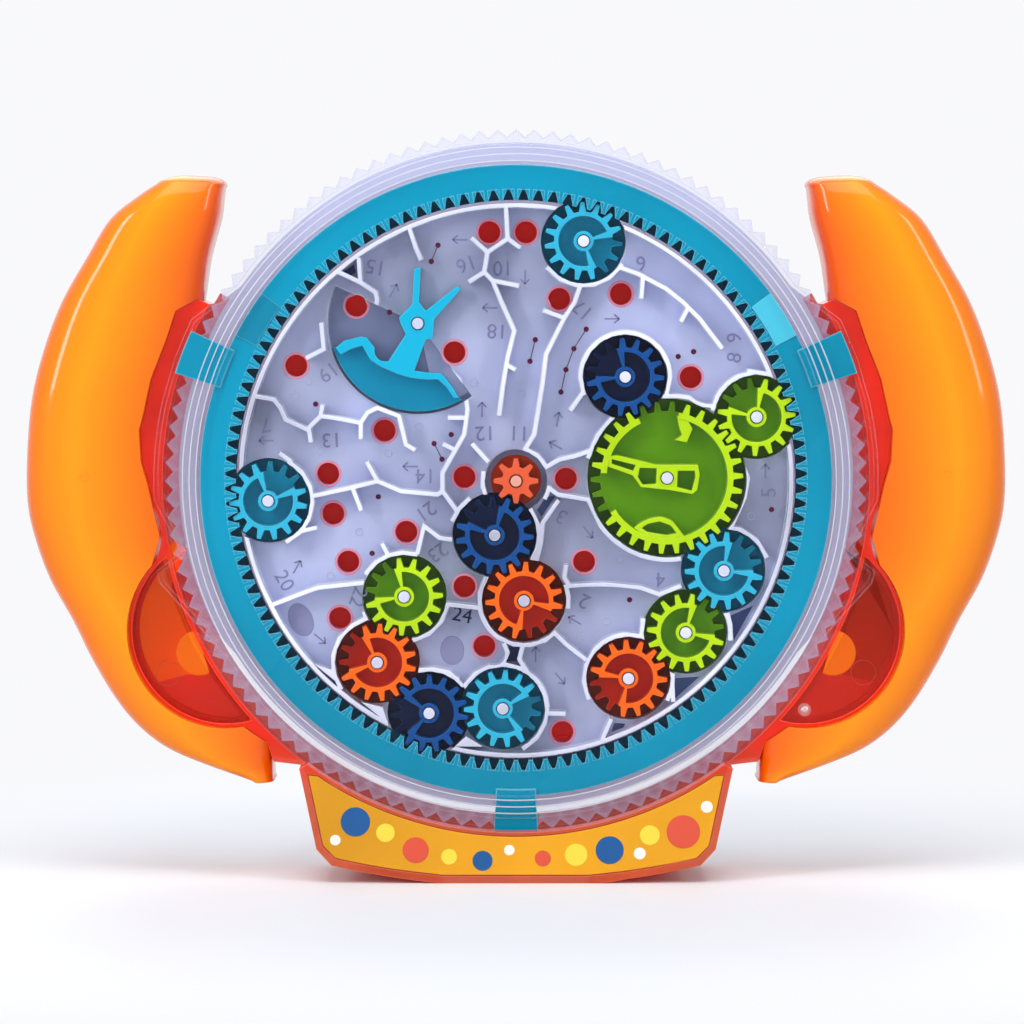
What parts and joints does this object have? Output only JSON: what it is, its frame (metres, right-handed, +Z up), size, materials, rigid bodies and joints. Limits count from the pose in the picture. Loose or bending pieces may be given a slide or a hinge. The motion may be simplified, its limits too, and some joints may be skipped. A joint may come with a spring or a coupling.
{
  "type": "gear maze puzzle",
  "caption": "Ball maze on a round geared board in a clear knurled wheel that turns in a red cradle with orange side grips, ball pockets and a curved base.",
  "frame": {"origin": "centre of the underside of the whole toy's box, on the table", "axes": "+X to the viewer's right across the handles, +Y from the front cover to the back, +Z up"},
  "size_m": [0.2946, 0.044, 0.2253],
  "materials": {
    "red_plastic": "see-through red, polished",
    "orange_plastic": "polished",
    "clear_plastic": "clear, polished",
    "milky_plastic": "milky, half clear",
    "lavender_plastic": "satin",
    "cyan_plastic": "satin",
    "teal_plastic": "satin",
    "lime_plastic": "satin",
    "navy_plastic": "satin",
    "orange_red_plastic": "satin",
    "trap_red_plastic": "satin",
    "white_plastic": "satin",
    "label_card": "printed sheet",
    "steel": "polished"
  },
  "bodies": {
    "frame": {"cradle_front": "red_plastic", "cradle_rear": "red_plastic", "front_cover": "clear_plastic", "rear_cover": "milky_plastic", "ring_gear": "cyan_plastic", "star_gear": "orange_red_plastic", "centre_shaft": "white_plastic", "left_handle_front": "orange_plastic", "left_handle_rear": "orange_plastic", "right_handle_front": "orange_plastic", "right_handle_rear": "orange_plastic", "left_pocket_window": "red_plastic", "right_pocket_window": "red_plastic", "left_pocket_stop": "orange_plastic", "right_pocket_stop": "orange_plastic", "label_panel": "label_card", "handle_screw_1": "steel", "handle_screw_2": "steel", "handle_screw_3": "steel", "handle_screw_4": "steel", "cover_screw_1": "steel", "cover_screw_2": "steel", "cover_screw_3": "steel", "cover_screw_4": "steel", "base_screw_1": "steel", "base_screw_2": "steel"},
    "turntable": {"turning_wheel": "clear_plastic", "hub_bush": "white_plastic", "maze_board": "lavender_plastic", "trap_tray": "trap_red_plastic", "board_screw_1": "steel", "board_screw_2": "steel", "board_screw_3": "steel", "board_screw_4": "steel"},
    "teal_top": {"gear_teal_top": "teal_plastic"},
    "teal_left": {"gear_teal_left": "teal_plastic"},
    "lime_right": {"gear_lime_right": "lime_plastic"},
    "navy_bottom_left": {"gear_navy_bottom_left": "navy_plastic"},
    "big_lime": {"gear_big_lime": "lime_plastic"},
    "navy_right": {"gear_navy_right": "navy_plastic"},
    "teal_right": {"gear_teal_right": "teal_plastic"},
    "lime_bottom_right": {"gear_lime_bottom_right": "lime_plastic"},
    "orange_right": {"gear_orange_right": "orange_red_plastic"},
    "teal_bottom": {"gear_teal_bottom": "teal_plastic"},
    "orange_left": {"gear_orange_left": "orange_red_plastic"},
    "lime_left": {"gear_lime_left": "lime_plastic"},
    "navy_centre": {"gear_navy_centre": "navy_plastic"},
    "orange_centre": {"gear_orange_centre": "orange_red_plastic"},
    "gate": {"swing_gate": "cyan_plastic"},
    "ball": {"steel_ball": "steel"}
  },
  "joints": [
    {"name": "board_spin", "type": "hinge", "parent": "frame", "child": "turntable", "pos_m": [0, 0, 0.12], "axis": [0, -1, 0], "continuous": true},
    {"name": "teal_top_spin", "type": "hinge", "parent": "turntable", "child": "teal_top", "pos_m": [0.02019, 0, 0.19182], "axis": [0, -1, 0], "continuous": true},
    {"name": "teal_left_spin", "type": "hinge", "parent": "turntable", "child": "teal_left", "pos_m": [-0.07436, 0, 0.11402], "axis": [0, -1, 0], "continuous": true},
    {"name": "lime_right_spin", "type": "hinge", "parent": "turntable", "child": "lime_right", "pos_m": [0.07209, 0, 0.13918], "axis": [0, -1, 0], "continuous": true},
    {"name": "navy_bottom_left_spin", "type": "hinge", "parent": "turntable", "child": "navy_bottom_left", "pos_m": [-0.02613, 0, 0.05013], "axis": [0, -1, 0], "continuous": true},
    {"name": "big_lime_spin", "type": "hinge", "parent": "turntable", "child": "big_lime", "pos_m": [0.0453, 0, 0.1209], "axis": [0, -1, 0], "continuous": true},
    {"name": "navy_right_spin", "type": "hinge", "parent": "turntable", "child": "navy_right", "pos_m": [0.0327, 0, 0.1512], "axis": [0, -1, 0], "continuous": true},
    {"name": "teal_right_spin", "type": "hinge", "parent": "turntable", "child": "teal_right", "pos_m": [0.0624, 0, 0.093], "axis": [0, -1, 0], "continuous": true},
    {"name": "lime_bottom_right_spin", "type": "hinge", "parent": "turntable", "child": "lime_bottom_right", "pos_m": [0.051, 0, 0.0744], "axis": [0, -1, 0], "continuous": true},
    {"name": "orange_right_spin", "type": "hinge", "parent": "turntable", "child": "orange_right", "pos_m": [0.0338, 0, 0.0606], "axis": [0, -1, 0], "continuous": true},
    {"name": "teal_bottom_spin", "type": "hinge", "parent": "turntable", "child": "teal_bottom", "pos_m": [-0.004, 0, 0.0515], "axis": [0, -1, 0], "continuous": true},
    {"name": "orange_left_spin", "type": "hinge", "parent": "turntable", "child": "orange_left", "pos_m": [-0.0417, 0, 0.0654], "axis": [0, -1, 0], "continuous": true},
    {"name": "lime_left_spin", "type": "hinge", "parent": "turntable", "child": "lime_left", "pos_m": [-0.0336, 0, 0.0852], "axis": [0, -1, 0], "continuous": true},
    {"name": "navy_centre_spin", "type": "hinge", "parent": "turntable", "child": "navy_centre", "pos_m": [-0.0064, 0, 0.1037], "axis": [0, -1, 0], "continuous": true},
    {"name": "orange_centre_spin", "type": "hinge", "parent": "turntable", "child": "orange_centre", "pos_m": [0.0024, 0, 0.084], "axis": [0, -1, 0], "continuous": true},
    {"name": "gate_swing", "type": "hinge", "parent": "turntable", "child": "gate", "pos_m": [-0.0294, 0, 0.1672], "axis": [0, -1, 0], "range_deg": [-35, 2]},
    {"name": "ball_roll", "type": "hinge", "parent": "frame", "child": "ball", "pos_m": [0.087, 0, 0.0753], "axis": [0, -1, 0], "range_deg": [0, 110]}
  ],
  "couplings": [
    {"joint": "teal_top_spin", "follows": "board_spin", "ratio": -8},
    {"joint": "teal_left_spin", "follows": "board_spin", "ratio": -8},
    {"joint": "lime_right_spin", "follows": "board_spin", "ratio": -8},
    {"joint": "navy_bottom_left_spin", "follows": "board_spin", "ratio": -8},
    {"joint": "big_lime_spin", "follows": "board_spin", "ratio": 4},
    {"joint": "navy_right_spin", "follows": "board_spin", "ratio": -8},
    {"joint": "teal_right_spin", "follows": "board_spin", "ratio": -8},
    {"joint": "lime_bottom_right_spin", "follows": "board_spin", "ratio": 8},
    {"joint": "orange_right_spin", "follows": "board_spin", "ratio": -8},
    {"joint": "teal_bottom_spin", "follows": "board_spin", "ratio": 8},
    {"joint": "orange_left_spin", "follows": "board_spin", "ratio": 8},
    {"joint": "lime_left_spin", "follows": "board_spin", "ratio": -8},
    {"joint": "navy_centre_spin", "follows": "board_spin", "ratio": 0.53333},
    {"joint": "orange_centre_spin", "follows": "board_spin", "ratio": -0.53333}
  ]
}
